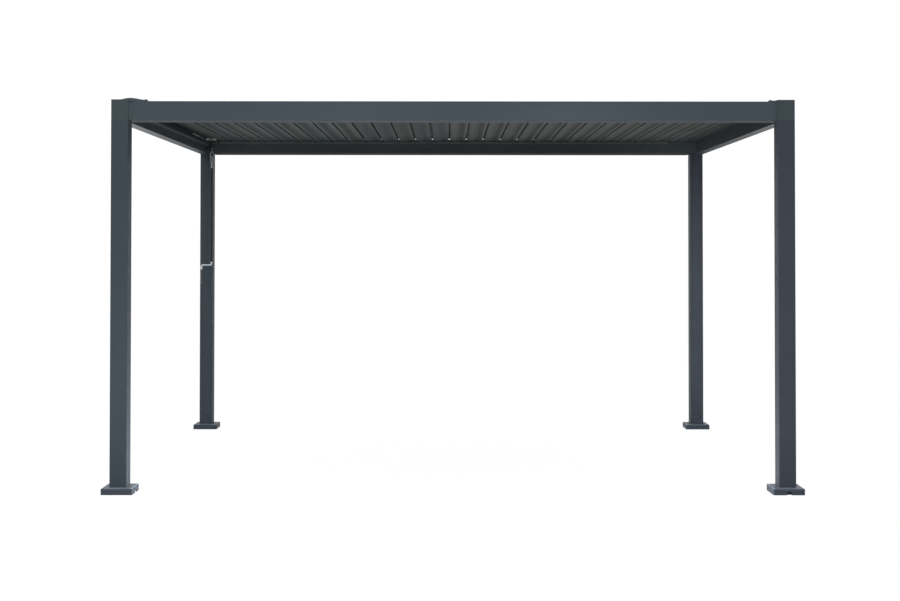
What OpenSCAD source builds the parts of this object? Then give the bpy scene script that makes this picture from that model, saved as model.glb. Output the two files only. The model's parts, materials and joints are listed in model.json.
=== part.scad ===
// Free-standing aluminium pergola with a roof of tilting louvres.
// Four square posts carry four box beams on corner blocks. A hand crank hangs at
// the rear left corner and turns all louvres together through a drive bar.
// Millimetres. X runs along the width, -Y is the front, Z is up from the ground.
// The origin is on the ground in the middle of the four posts.

/* [Overall] */
// Width over the outer faces of the posts
width = 4000; // [3800:10:4400]
// Depth over the outer faces of the posts
depth = 3000; // [2400:10:3600]
// Height from the ground to the top of the corner caps
height = 2300; // [2100:10:2600]

/* [Posts and feet] */
// Side of a square post
post = 100; // [90:1:110]
// Wall of a post
post_wall = 2; // [1.5:0.5:3]
// Radius of a post's outer edges
post_edge = 3; // [2.5:0.5:5]
// Side of the welded base plate
base_plate = 150; // [145:1:165]
// Thickness of the base plate
base_plate_t = 8; // [6:1:12]
// Distance between the anchor holes of a base plate
anchor_pitch = 122; // [120:1:126]
// Radius of an anchor hole
anchor_r = 5.5; // [4.5:0.5:6]
// Side of a foot cover
cover = 184; // [176:1:200]
// Height of a foot cover
cover_h = 38; // [35:1:60]
// Wall of a foot cover
cover_wall = 3; // [2:0.5:4]
// Radius of a foot cover's top edges
cover_edge = 10; // [6:1:12]
// Width of the drain notch in a foot cover
notch_w = 29; // [20:1:40]
// Height of the drain notch
notch_h = 19; // [12:1:22]

/* [Beams and corners] */
// Width of a beam
beam_w = 68; // [60:1:76]
// Height of a beam
beam_h = 110; // [100:1:130]
// Wall of a beam
beam_wall = 2; // [1.5:0.5:3]
// How far a beam's outer face stands back from the posts
beam_setback = 3; // [1:0.5:6]
// Height of a corner cap above the beams
cap_rise = 10; // [6:1:16]
// Thickness of a corner cap
cap_t = 3; // [2:0.5:4]
// Depth of the cap's rim inside the corner block
cap_rim = 9; // [6:1:12]
// Wall of a corner block
block_wall = 3; // [2.5:0.5:4]
// Open joint between a corner block and a beam
beam_joint = 13; // [4:1:20]
// Open joint at the front beam's left end, which stands further off its block
wide_joint = 30; // [4:1:40]
// Length of a corner cap's tongue over the end of a long beam
tongue = 43; // [30:1:60]
// Length of the front left cap's tongue
long_tongue = 104; // [60:1:120]
// Height that the front left cap has bowed up
cap_bow = 10; // [0:1:14]
// Thickness of a tongue
tongue_t = 6; // [4:0.5:8]
// Length of a corner block's arm inside a beam
arm_in = 80; // [60:5:120]
// Clearance of an arm or rim in what it slides into
slip = 0.3; // [0.2:0.1:0.5]

/* [Gutters] */
// Height of a gutter's floor above the beams' underside
gutter_lift = 3; // [2:1:5]
// Distance from a front or rear beam to the louvre rail
gutter_w = 129; // [110:1:150]
// Wall of a gutter
gutter_wall = 2; // [1.5:0.5:3]
// Thickness of the louvre rail
rail_t = 3; // [2:0.5:4]
// Height of a gutter's fixing flange
flange_h = 40; // [30:1:50]
// Width of the rain ledge on the left beam
ledge_w = 32; // [28:1:36]
// Height of the rain ledge above the beam's underside
ledge_lift = 55; // [55:1:57]
// Height of the ledge's lip
ledge_lip = 14; // [10:1:15]
// Gap between a gutter's cut corner and the corner block
notch_gap = 3; // [2:0.5:6]

/* [Louvres] */
// Number of louvres
louvres = 27; // [20:1:27]
// Distance from the left beam to the joint beside the first louvre
left_margin = 194.5; // [190:0.5:220]
// Distance from the right beam to the joint beside the last louvre
right_margin = 99.5; // [95:0.5:130]
// Thickness of a louvre
blade_t = 20; // [18:1:22]
// Wall of a louvre
blade_wall = 1.6; // [1.2:0.1:2]
// Open joint between two louvres
blade_gap = 12; // [8:0.5:12]
// Place of the underside's lowest fold, as a share of the pitch
knee_at = 0.37; // [0.3:0.01:0.45]
// Place of the underside's highest fold, as a share of the pitch
valley_at = 0.70; // [0.6:0.01:0.8]
// Height of the underside's left edge above the lowest fold
left_rise = 3; // [1:0.5:4]
// Height of the underside's highest fold above the lowest one
valley_rise = 7; // [4:0.5:9]
// Height of the underside's right edge above the lowest fold
tip_rise = 2; // [1:0.5:3]
// Overlap of a louvre's lip past the middle of the joint
lip = 12; // [8:0.5:13]
// Distance from a lip's end to the next louvre
lip_gap = 6; // [5:0.5:8]
// Height of the rain channel's wall on a louvre
channel_h = 13; // [9:0.5:13]
// Height of the fixed strips beside the louvres
strip_t = 18; // [12:0.5:18]
// How far the fixed strips lap over the side beams
strip_lap = 20; // [12:1:30]
// Thickness of a louvre's end caps
end_cap = 3; // [2:0.5:4]
// Distance from the joint's middle to a louvre's pivot
pivot_in = 24; // [23:1:30]
// Height of a pivot above a louvre's underside
pivot_up = 10; // [9:0.5:11]
// Radius of a pivot pin
pivot_r = 4; // [3:0.5:5]
// Clearance around a pivot pin
pivot_play = 0.4; // [0.3:0.1:0.6]
// Gap between a louvre's front end and the rail
end_gap = 6; // [5:0.5:8]

/* [Drive] */
// Length of a louvre's lever
lever = 30; // [28:1:34]
// Thickness of a lever and of the drive bar
lever_t = 4; // [3:0.5:5]
// Half the width of a lever
lever_r = 7; // [6:0.5:8]
// Radius of a lever's pin
lever_pin_r = 3; // [2.5:0.5:4]
// Height of the drive bar
bar_h = 16; // [14:1:18]
// Gap between a lever and the drive bar
bar_gap = 1.5; // [1:0.5:2]
// Gap between the drive bar and the rail
rail_gap = 8; // [6:0.5:10]
// Distance from the gearbox's output axis to the joint beside the first louvre
gear_room = 108; // [104:1:112]
// Drop of the gearbox's output axis below the louvre pivots
gear_drop = 14; // [12:1:18]
// Radius of the gearbox's round end
gear_r = 18; // [16:1:19]
// Length of the gearbox along the output axis
gear_len = 50; // [44:1:60]
// Distance between the gearbox's input and output axes
gear_offset = 41.5; // [38:0.5:44]
// Radius of the output shaft
gear_shaft_r = 6; // [5:0.5:7]
// Length of the gearbox's nose around the input shaft
nose_len = 31; // [20:1:36]
// Radius of the nose
nose_r = 10; // [9:0.5:11]
// Width of the gearbox bracket
bracket_w = 57; // [50:1:66]
// Height of the bracket's flanges
bracket_h = 14; // [10:1:18]
// Thickness of the bracket's sheet
bracket_t = 2; // [1.5:0.5:3]
// Length of the bright strip on the left beam
strip_len = 480; // [400:10:560]
// Height of the bright strip
strip_h = 10; // [8:1:14]
// Distance from the crank to the bright strip's rear end
strip_back = 100; // [60:5:160]

/* [Crank] */
// Radius of the crank's rod
rod_r = 5.5; // [5:0.5:7]
// Radius of the painted tube around the rod
tube_r = 7.5; // [7:0.5:9]
// Radius of the rod's bends
bend_r = 12; // [10:1:18]
// Height of the crank's arm above the ground
arm_z = 1300; // [1100:10:1500]
// Length of the crank's arm
arm_len = 79; // [70:1:95]
// Length of the grip
grip_len = 102; // [90:1:130]
// Radius of the grip
grip_r = 9.5; // [9:0.5:13]
// Drop of the grip's top below the arm
grip_drop = 35; // [30:1:45]
// Radius of the grip's spindle
spindle_r = 4.5; // [4:0.5:5]
// Radius of the wire of the eye and the hook
wire_r = 3.5; // [3:0.5:4]
// Half the width of the eye and the hook
link_w = 10.5; // [10:0.5:13]
// Height of the eye
eye_h = 44; // [36:1:50]
// Height of the hook
hook_h = 54; // [44:1:60]
// Length of the shaft between the gearbox's nose and the eye
shaft_len = 32; // [24:1:40]

/* [Hidden] */

$fn = 48;
paint = [0.27, 0.30, 0.32];
paint_light = [0.33, 0.36, 0.38];
galvanised = [0.72, 0.74, 0.75];
dark_plastic = [0.12, 0.13, 0.14];

// Heights of the frame
block_top = height - cap_t;
beam_top = height - cap_rise;
beam_bottom = beam_top - beam_h;
gutter_z = beam_bottom + gutter_lift;
ledge_z = beam_bottom + ledge_lift;

// Inner faces of the beams and of the louvre rails, from the middle
beam_in_x = width / 2 - beam_setback - beam_w;
beam_in_y = depth / 2 - beam_setback - beam_w;
rail_y = beam_in_y - gutter_w;

// Louvres: the joints between them are counted from the right
pitch = (2 * beam_in_x - left_margin - right_margin) / louvres;
field_right = beam_in_x - right_margin;
field_left = field_right - louvres * pitch;
louvre_z = beam_top + cap_rise / 2 - blade_t;
pivot_z = louvre_z + pivot_up;
rear_end = rail_y - rail_gap - 2 * lever_t - bar_gap;
front_end = -rail_y + end_gap;
bar_y = rail_y - rail_gap - lever_t;

// A lever points down and to the left at rest, half way between its two stops
lever_x = -lever * sin(45);
lever_drop = lever * cos(45);

// Gearbox: its output lever stands in front of the drive bar, like the louvres' levers
strip_clear = 3;
gear_x = field_left - gear_room;
gear_z = pivot_z - gear_drop;
gear_back = rear_end - bar_gap;
crank_x = gear_x - gear_offset;
crank_y = gear_back - gear_len / 2;
gear_left = crank_x - nose_r - 6;

// ---- Shapes used by several pieces ----

module rounded_square(side, r) {
    square([side - 2 * r, side], center = true);
    square([side, side - 2 * r], center = true);
    for (sx = [-1, 1], sy = [-1, 1])
        translate([sx * (side / 2 - r), sy * (side / 2 - r)]) circle(r);
}

module square_tube(side, r, wall, h) {
    linear_extrude(h) difference() {
        rounded_square(side, r);
        rounded_square(side - 2 * wall, max(r - wall, 0.5));
    }
}

// Moves a piece drawn at the front left post to any corner
module at_corner(sx, sy) {
    mirror([sx > 0 ? 1 : 0, 0, 0])
        mirror([0, sy > 0 ? 1 : 0, 0])
            translate([-(width - post) / 2, -(depth - post) / 2, 0]) children();
}

// Extrudes a section drawn in X and Z along Y, from y0 to y1
module along_y(y0, y1) {
    translate([0, y1, 0]) rotate([90, 0, 0]) linear_extrude(y1 - y0) children();
}

// Extrudes a section drawn in Y and Z along X, from x0 to x1
module along_x(x0, x1) {
    translate([x0, 0, 0]) rotate([90, 0, 90]) linear_extrude(x1 - x0) children();
}

// ---- Posts and feet ----

module post_piece() {
    color(paint) {
        difference() {
            translate([0, 0, base_plate_t / 2])
                cube([base_plate, base_plate, base_plate_t], center = true);
            for (sx = [-1, 1], sy = [-1, 1])
                translate([sx * anchor_pitch / 2, sy * anchor_pitch / 2, -1])
                    cylinder(h = base_plate_t + 2, r = anchor_r);
        }
        translate([0, 0, base_plate_t - 0.5])
            square_tube(post, post_edge, post_wall, beam_bottom - base_plate_t + 0.5);
    }
}

// Section of a foot cover from the side, with rounded top edges
module cover_side(side, h, r) {
    translate([-side / 2, 0]) square([side, h - r]);
    translate([-side / 2 + r, 0]) square([side - 2 * r, h]);
    for (sx = [-1, 1]) translate([sx * (side / 2 - r), h - r]) circle(r);
}

module cover_solid(side, h, r) {
    intersection() {
        along_y(-side, side) cover_side(side, h, r);
        along_x(-side, side) cover_side(side, h, r);
        linear_extrude(h) rounded_square(side, r);
    }
}

// Square collar around a post's foot, hollow above the base plate
module foot_cover_piece(notch_turn) {
    color(paint_light) difference() {
        cover_solid(cover, cover_h, cover_edge);
        translate([0, 0, -cover_wall])
            cover_solid(cover - 2 * cover_wall, cover_h, cover_edge - cover_wall);
        translate([0, 0, -1])
            linear_extrude(cover_h + 2) rounded_square(post + 2 * slip, post_edge + slip);
        rotate([0, 0, notch_turn])
            along_y(-cover, -post / 2) {
                translate([-notch_w / 2, -1]) square([notch_w, notch_h + 1 - notch_w / 4]);
                translate([-notch_w / 4, -1]) square([notch_w / 2, notch_h + 1]);
                for (sx = [-1, 1])
                    translate([sx * notch_w / 4, notch_h - notch_w / 4]) circle(notch_w / 4);
            }
    }
}

// ---- Corner blocks, caps and beams ----

// Rectangular tube along +X that slides into a beam across an open joint
module block_arm(joint) {
    arm_w = beam_w - 2 * beam_wall - 2 * slip;
    arm_h = beam_h - 2 * beam_wall - 2 * slip;
    reach = post / 2 + joint + arm_in;
    shift = beam_setback + beam_w / 2 - post / 2;
    along_x(post / 2 - block_wall, reach)
        translate([shift, beam_bottom + beam_h / 2]) difference() {
            square([arm_w, arm_h], center = true);
            square([arm_w - 2 * block_wall, arm_h - 2 * block_wall], center = true);
        }
}

module corner_block_piece(joint_x) {
    spigot = post - 2 * post_wall - 2 * slip;
    color(paint) {
        translate([0, 0, beam_bottom])
            square_tube(post, post_edge, block_wall, block_top - beam_bottom);
        translate([0, 0, beam_bottom - arm_in])
            square_tube(spigot, 1, block_wall, arm_in + block_wall);
        translate([0, 0, beam_bottom])
            linear_extrude(block_wall) difference() {
                square(post - block_wall, center = true);
                square(spigot - 2 * block_wall, center = true);
            }
        block_arm(joint_x);
        mirror([1, -1, 0]) block_arm(beam_joint);
    }
}

// Rim of a cap inside its corner block
module cap_rim_part() {
    rim = post - 2 * block_wall - 2 * slip;
    translate([0, 0, block_top - cap_rim]) square_tube(rim, 1, gutter_wall, cap_rim + 0.5);
}

// Edges of the tongue across the long beam
tongue_y0 = beam_setback - post / 2;
tongue_y1 = tongue_y0 + beam_w;

// Small upstand at a tongue's end, drawn in X and Z
module tongue_end(x, z) {
    polygon([[x - 8, z - 1], [x - 3, z + tongue_t - 0.5], [x, z - 1]]);
}

// Flat cap with a tongue that laps over the end of the long beam
module corner_cap_piece() {
    end = post / 2 + tongue;
    top = beam_top + tongue_t;
    color(paint) {
        translate([0, 0, block_top]) linear_extrude(cap_t) rounded_square(post, post_edge);
        cap_rim_part();
        along_y(tongue_y0, tongue_y1) {
            polygon([[post / 2 - 5, block_top], [post / 2 - 5, height], [post / 2, height],
                     [post / 2 + 2 * tongue_t, top], [end, top], [end, beam_top],
                     [post / 2, beam_top], [post / 2, block_top]]);
            tongue_end(end, top);
        }
    }
}

// The front left cap has bowed up between bow_x0 and bow_x1
bow_x0 = post / 25;
bow_x1 = post / 2 + long_tongue;
bow_end = height - 2.5;
function bow_z(x) =
    let (t = max(0, x - bow_x0) / (bow_x1 - bow_x0))
    height + (bow_end - height) * t + cap_bow * pow(sin(180 * pow(t, 0.77)), 2);
function bow_line(xa, xb, n) = [for (k = [0 : n]) let (x = xa + (xb - xa) * k / n) [x, bow_z(x)]];

module bow_sheet(xa, xb, n) {
    top = bow_line(xa, xb, n);
    polygon(concat(top, [for (k = [n : -1 : 0]) [top[k][0], top[k][1] - cap_t]]));
}

// Edge that closes the space between the bowed sheet and what is under it
module bow_skirt(xa, xb, n, base) {
    polygon(concat(bow_line(xa, xb, n), [[xb, base], [xa, base]]));
}

module bowed_cap_piece() {
    edge = post / 2;
    color(paint) {
        translate([0, 0, block_top]) linear_extrude(cap_t) difference() {
            rounded_square(post, post_edge);
            translate([bow_x0, -post]) square(2 * post);
        }
        cap_rim_part();
        along_y(-edge, edge) bow_sheet(bow_x0, edge, 5);
        along_y(-edge, cap_t + 1 - edge) bow_skirt(bow_x0, edge, 5, block_top);
        along_y(edge - cap_t - 1, edge) bow_skirt(bow_x0, edge, 5, block_top);
        along_y(tongue_y0, tongue_y1) {
            bow_sheet(edge, bow_x1, 12);
            square_at(bow_x1 - cap_t, beam_top, cap_t, bow_end - beam_top - 1);
            tongue_end(bow_x1, bow_end);
        }
        along_y(tongue_y0, tongue_y0 + cap_t) bow_skirt(edge, bow_x1, 12, beam_top);
        along_y(tongue_y1 - cap_t, tongue_y1) bow_skirt(edge, bow_x1, 12, beam_top);
    }
}

// Beam section with its outer face at 0 and its inner side towards +X
module beam_section() {
    difference() {
        translate([0, beam_bottom]) square([beam_w, beam_h]);
        translate([beam_wall, beam_bottom + beam_wall])
            square([beam_w - 2 * beam_wall, beam_h - 2 * beam_wall]);
    }
}

// Narrow ledge with an upturned lip that leads rain from the wide strip to the gutters
module ledge_section() {
    translate([beam_w - 0.5, ledge_z]) square([ledge_w + 0.5, gutter_wall]);
    translate([beam_w + ledge_w - gutter_wall, ledge_z]) square([gutter_wall, ledge_lip]);
}

beam_end_x = width / 2 - post - beam_joint;
beam_end_y = depth / 2 - post - beam_joint;

module long_beam(left_joint) {
    color(paint) along_x(-width / 2 + post + left_joint, beam_end_x)
        translate([-depth / 2 + beam_setback, 0]) beam_section();
}

module side_beam(ledge) {
    color(paint) along_y(-beam_end_y, beam_end_y)
        translate([-width / 2 + beam_setback, 0]) {
            beam_section();
            if (ledge) ledge_section();
        }
}

// ---- Gutters with the louvre rails, and the fixed strips beside the louvres ----

// Plan of the front gutter, cut away round the corner blocks and drawn smaller by inset
module gutter_plan(inset) {
    notch_x = width / 2 - post - notch_gap - inset;
    notch_y = depth / 2 - post - notch_gap - inset;
    difference() {
        translate([inset - beam_in_x, inset - beam_in_y])
            square([2 * (beam_in_x - inset), gutter_w - 2 * inset]);
        for (sx = [-1, 1])
            translate([sx > 0 ? notch_x : -notch_x - post, -notch_y - post]) square(post);
    }
}

// Folded gutter; its inner wall rises past the ledge and carries the louvre pivots
module gutter_front_piece() {
    color(paint) difference() {
        union() {
            translate([0, 0, gutter_z]) linear_extrude(gutter_wall) gutter_plan(0);
            translate([0, 0, gutter_z]) linear_extrude(flange_h) difference() {
                gutter_plan(0);
                gutter_plan(gutter_wall);
            }
            along_x(ledge_w - beam_in_x, beam_in_x)
                translate([-rail_y - rail_t, gutter_z]) square([rail_t, beam_top - gutter_z]);
        }
        for (i = [0 : louvres - 1])
            translate([field_left + i * pitch + pivot_in, -rail_y + 1, pivot_z])
                rotate([90, 0, 0]) cylinder(h = rail_t + 2, r = pivot_r + pivot_play);
    }
}

// Hollow strip from the gearbox to the first louvre, with a cover lapping onto the left beam
module flashing_left_piece() {
    w = blade_wall;
    top = louvre_z + blade_t;
    left = gear_x + gear_r + strip_clear;
    tip = field_left - blade_gap / 2;
    far = -beam_in_x - strip_lap;
    color(paint) along_y(-rail_y, rail_y) {
        square_at(left, top - strip_t, tip - left, w);
        square_at(far, top - w, field_left + lip - far, w);
        square_at(left, top - strip_t, w, strip_t);
        square_at(tip - w, top - strip_t, w, strip_t);
        square_at(far, beam_top, w, top - beam_top);
    }
}

// Hollow strip from the last louvre to the right beam, with a rain channel
module flashing_right_piece() {
    w = blade_wall;
    top = louvre_z + blade_t;
    left = field_right + blade_left;
    body = field_right + blade_body;
    far = beam_in_x + strip_lap;
    color(paint) along_y(-rail_y, rail_y) {
        square_at(left, top - strip_t, beam_in_x - left, w);
        square_at(left, top - strip_t, w, channel_h + strip_t - blade_t);
        square_at(body, top - w, far - body, w);
        square_at(body, top - strip_t, w, strip_t);
        square_at(beam_in_x - w, top - strip_t, w, strip_t);
        square_at(far - w, beam_top, w, top - beam_top);
    }
}

// ---- Louvres ----

// Positions across a louvre, from the middle of the joint on its left
blade_left = blade_gap / 2;
blade_body = lip + lip_gap;
blade_knee = knee_at * pitch;
blade_valley = valley_at * pitch;
blade_tip = pitch - blade_gap / 2;

// Folded underside of a louvre, raised by z
function underside(z) = [[blade_left, left_rise + z], [blade_knee, z],
                         [blade_valley, valley_rise + z], [blade_tip, tip_rise + z]];

// Hollow extruded section: rain channel, three chambers and an overlapping lip
module blade_section() {
    w = blade_wall;
    polygon(concat(underside(0), [for (k = [3 : -1 : 0]) underside(w)[k]]));
    square_at(blade_left, left_rise, w, channel_h - left_rise);
    square_at(blade_body, left_rise, w, blade_t - left_rise);
    square_at(blade_knee - w / 2, w / 2, w, blade_t - w / 2);
    square_at(blade_valley - w / 2, valley_rise + w / 2, w, blade_t - valley_rise - w / 2);
    square_at(blade_tip - w, tip_rise + w / 2, w, blade_t - tip_rise - w / 2);
    square_at(blade_body, blade_t - w, pitch + lip - blade_body, w);
}

module square_at(x, z, dx, dz) {
    translate([x, z]) square([dx, dz]);
}

// Plate that closes a louvre's end
module blade_end_section() {
    polygon(concat(underside(0), [[blade_tip, blade_t], [blade_body, blade_t],
                                  [blade_body, channel_h], [blade_left, channel_h]]));
}

// Lever outline from its pivot at 0 to its pin, in X and Z
module lever_section() {
    rotate([0, 0, -45]) translate([0.5 - lever_r, -lever]) square([2 * lever_r - 1, lever]);
    circle(lever_r);
    translate([lever_x, -lever_drop]) circle(lever_r);
}

module y_pin(x, z, r, y0, y1) {
    translate([x, y1, z]) rotate([90, 0, 0]) cylinder(h = y1 - y0, r = r);
}

// Louvre number i from the left, counted from 0
module louvre_piece(i) {
    translate([field_left + i * pitch, 0, 0]) {
        color(i % 2 == 0 ? paint : paint_light) {
            translate([0, 0, louvre_z]) {
                along_y(front_end, rear_end) blade_section();
                along_y(front_end, front_end + end_cap) blade_end_section();
                along_y(rear_end - end_cap, rear_end) blade_end_section();
            }
            y_pin(pivot_in, pivot_z, pivot_r, -rail_y - rail_t - 6, front_end + 1);
            y_pin(pivot_in, pivot_z, pivot_r, rear_end - 1, rail_y + rail_t + 6);
            along_y(rear_end - 0.5, rear_end + lever_t)
                translate([pivot_in, pivot_z]) lever_section();
            y_pin(pivot_in + lever_x, pivot_z - lever_drop, lever_pin_r,
                  rear_end, bar_y + lever_t + 2);
        }
    }
}

// ---- Drive bar, gearbox and crank ----

module drive_bar_piece() {
    bar_z = pivot_z - lever_drop;
    left = gear_x + lever_x - bar_h / 2;
    right = field_right - pitch + pivot_in + lever_x + bar_h / 2;
    color(galvanised) difference() {
        along_y(bar_y, bar_y + lever_t) {
            translate([left, bar_z - bar_h / 2]) square([right - left, bar_h]);
            translate([left, bar_z - gear_drop]) square([bar_h, gear_drop]);
            translate([left + bar_h / 2, bar_z - gear_drop]) circle(bar_h / 2);
        }
        for (i = [0 : louvres - 1])
            y_pin(field_left + i * pitch + pivot_in + lever_x, bar_z,
                  lever_pin_r + pivot_play, bar_y - 1, bar_y + lever_t + 1);
        y_pin(gear_x + lever_x, bar_z - gear_drop, lever_pin_r + pivot_play,
              bar_y - 1, bar_y + lever_t + 1);
    }
}

// Worm gear housing: round about the output axis, square at the input, with a nose below
nose_z = gear_z - gear_r - nose_len;

module gearbox_piece() {
    color(dark_plastic) difference() {
        union() {
            along_y(gear_back - gear_len, gear_back) {
                translate([gear_x, gear_z]) circle(gear_r);
                translate([gear_left, gear_z - gear_r]) square([gear_x - gear_left, 2 * gear_r]);
            }
            translate([crank_x, crank_y, nose_z]) cylinder(h = nose_len + 1, r = nose_r);
        }
        y_pin(gear_x, gear_z, gear_shaft_r + pivot_play, gear_back - gear_len + 10, gear_back + 1);
        translate([crank_x, crank_y, nose_z - 1])
            cylinder(h = nose_len + gear_r + 1, r = rod_r + pivot_play);
    }
}

// Galvanised angle that hangs the gearbox on the rear rail, and the strip on the left beam
module gearbox_bracket_piece() {
    top = gear_z + gear_r;
    front = gear_back - gear_len - bracket_t;
    color(galvanised) {
        along_x(gear_left - 3, gear_left - 3 + bracket_w) {
            translate([front, top]) square([rail_y - front, bracket_t]);
            translate([front, top - bracket_h]) square([bracket_t, bracket_h + bracket_t]);
            translate([rail_y - bracket_t, top - bracket_h])
                square([bracket_t, bracket_h + bracket_t]);
        }
        translate([-beam_in_x, crank_y - strip_back - strip_len, beam_top - 1 - strip_h])
            cube([rail_t, strip_len, strip_h]);
    }
}

module gearbox_lever_piece() {
    color(galvanised) {
        along_y(rear_end, rear_end + lever_t) translate([gear_x, gear_z]) lever_section();
        y_pin(gear_x, gear_z, gear_shaft_r, gear_back - gear_len + 12, rear_end + 1);
        y_pin(gear_x + lever_x, gear_z - lever_drop, lever_pin_r,
              rear_end, bar_y + lever_t + 2);
    }
}

// Middle of the wire at the top of the eye and at the top of the hook
eye_z = nose_z - shaft_len;
hook_z = eye_z - eye_h + 2 * wire_r + 0.5;

// Long ring of round wire in X and Z, with the middle of its wire at 0 at the top
module link(h) {
    for (turn = [0, 180])
        translate([0, 0, turn == 0 ? -link_w : link_w - h]) rotate([0, turn, 0]) rotate([90, 0, 0])
            rotate_extrude(angle = 180) translate([link_w, 0]) circle(wire_r);
    for (sx = [-1, 1])
        translate([sx * link_w, 0, link_w - h]) cylinder(h = h - 2 * link_w, r = wire_r);
}

// Input shaft of the gearbox with the eye that the crank hooks into
module crank_eye_piece() {
    color(galvanised) translate([crank_x, crank_y, 0]) {
        translate([0, 0, eye_z]) cylinder(h = gear_z - 2 - eye_z, r = rod_r);
        translate([0, 0, eye_z]) rotate([0, 0, 30]) link(eye_h);
    }
}

// Quarter bend of the rod in X and Z; turn 90 runs from +X down, turn -90 from +Z to -X
module bend(turn) {
    rotate([0, turn, 0]) rotate([90, 0, 0])
        rotate_extrude(angle = 90) translate([bend_r, 0]) circle(rod_r);
}

// Hook, rod, arm and spindle of the crank in one bent bar, with a painted tube round the rod
module crank_handle_piece() {
    foot = hook_z - hook_h;
    grip_z = arm_z - grip_drop;
    color(galvanised) translate([crank_x, crank_y, 0]) {
        translate([0, 0, hook_z]) rotate([0, 0, -35]) link(hook_h);
        translate([0, 0, arm_z + bend_r]) cylinder(h = foot - arm_z - bend_r, r = rod_r);
        translate([0, 0, arm_z + 2 * bend_r])
            cylinder(h = foot - grip_drop - arm_z - 2 * bend_r, r = tube_r);
        translate([-bend_r, 0, arm_z + bend_r]) bend(90);
        translate([-bend_r, 0, arm_z]) rotate([0, -90, 0])
            cylinder(h = arm_len - 2 * bend_r, r = rod_r);
        translate([bend_r - arm_len, 0, arm_z - bend_r]) bend(-90);
        translate([-arm_len, 0, grip_z + 1])
            cylinder(h = grip_drop - bend_r - 1, r = tube_r);
        translate([-arm_len, 0, grip_z - grip_len - 4])
            cylinder(h = grip_len + 4 + grip_drop - bend_r, r = spindle_r);
        translate([-arm_len, 0, grip_z - grip_len - 4]) cylinder(h = 3, r = tube_r);
    }
}

module crank_grip_piece() {
    color(dark_plastic) translate([crank_x - arm_len, crank_y, arm_z - grip_drop - grip_len])
        difference() {
            cylinder(h = grip_len, r = grip_r);
            translate([0, 0, -1]) cylinder(h = grip_len + 2, r = spindle_r + slip);
        }
}

// ---- The assembly ----

at_corner(-1, -1) post_piece();  // post_front_left
at_corner(1, -1) post_piece();  // post_front_right
at_corner(-1, 1) post_piece();  // post_rear_left
at_corner(1, 1) post_piece();  // post_rear_right

at_corner(-1, -1) foot_cover_piece(90);  // foot_cover_front_left
at_corner(1, -1) foot_cover_piece(0);  // foot_cover_front_right
at_corner(-1, 1) foot_cover_piece(0);  // foot_cover_rear_left
at_corner(1, 1) foot_cover_piece(0);  // foot_cover_rear_right

at_corner(-1, -1) corner_block_piece(wide_joint);  // corner_block_front_left
at_corner(1, -1) corner_block_piece(beam_joint);  // corner_block_front_right
at_corner(-1, 1) corner_block_piece(beam_joint);  // corner_block_rear_left
at_corner(1, 1) corner_block_piece(beam_joint);  // corner_block_rear_right

at_corner(-1, -1) bowed_cap_piece();  // corner_cap_front_left
at_corner(1, -1) corner_cap_piece();  // corner_cap_front_right
at_corner(-1, 1) corner_cap_piece();  // corner_cap_rear_left
at_corner(1, 1) corner_cap_piece();  // corner_cap_rear_right

long_beam(wide_joint);  // beam_front
mirror([0, 1, 0]) long_beam(beam_joint);  // beam_rear
side_beam(true);  // beam_left
mirror([1, 0, 0]) side_beam(false);  // beam_right

gutter_front_piece();  // gutter_front
mirror([0, 1, 0]) gutter_front_piece();  // gutter_rear
flashing_left_piece();  // flashing_left
flashing_right_piece();  // flashing_right

for (i = [0 : louvres - 1])
    louvre_piece(i);

drive_bar_piece();  // drive_bar
gearbox_piece();  // gearbox
gearbox_bracket_piece();  // gearbox_bracket
gearbox_lever_piece();  // gearbox_lever
crank_eye_piece();  // crank_eye
crank_handle_piece();  // crank_handle
crank_grip_piece();  // crank_grip
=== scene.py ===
"""Looks for the louvred pergola: finishes, small fittings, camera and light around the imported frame."""
import json
import math

import bmesh
import bpy
from mathutils import Matrix, Vector


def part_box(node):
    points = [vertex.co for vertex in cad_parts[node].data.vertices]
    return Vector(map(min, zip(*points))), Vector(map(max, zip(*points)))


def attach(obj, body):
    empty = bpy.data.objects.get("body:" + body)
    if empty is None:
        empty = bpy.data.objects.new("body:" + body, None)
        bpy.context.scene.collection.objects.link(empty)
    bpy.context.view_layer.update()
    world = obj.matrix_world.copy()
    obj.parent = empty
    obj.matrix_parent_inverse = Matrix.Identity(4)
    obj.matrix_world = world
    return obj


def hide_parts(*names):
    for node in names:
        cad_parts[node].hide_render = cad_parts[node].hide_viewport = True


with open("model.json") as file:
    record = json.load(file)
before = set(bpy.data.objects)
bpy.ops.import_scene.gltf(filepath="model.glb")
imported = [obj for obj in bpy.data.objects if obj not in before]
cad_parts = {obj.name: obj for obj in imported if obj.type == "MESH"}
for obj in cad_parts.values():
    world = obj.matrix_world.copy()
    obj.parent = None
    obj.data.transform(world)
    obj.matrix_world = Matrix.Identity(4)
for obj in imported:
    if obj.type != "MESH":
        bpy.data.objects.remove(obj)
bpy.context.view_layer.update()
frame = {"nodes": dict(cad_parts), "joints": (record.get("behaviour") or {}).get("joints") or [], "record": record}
nodes = frame["nodes"]
scene = bpy.context.scene
scene.view_settings.view_transform = "Standard"

LOUVRES = sorted(n for n in nodes if n.startswith("louvre_"))
CORNERS = ("front_left", "front_right", "rear_left", "rear_right")


# ---- Sizes and places from the frame, in metres -------------------------------------------------

PIVOTS = {joint["name"]: joint["pos_m"] for joint in frame["joints"]}
post_low, post_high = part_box("post_rear_right")
block_low, block_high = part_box("corner_block_rear_right")
gutter_low, gutter_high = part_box("gutter_rear")
bar_low, bar_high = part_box("drive_bar")
rod_low, rod_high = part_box("crank_handle")
louvre_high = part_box("louvre_01")[1]
gearbox_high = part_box("gearbox")[1]

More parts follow.
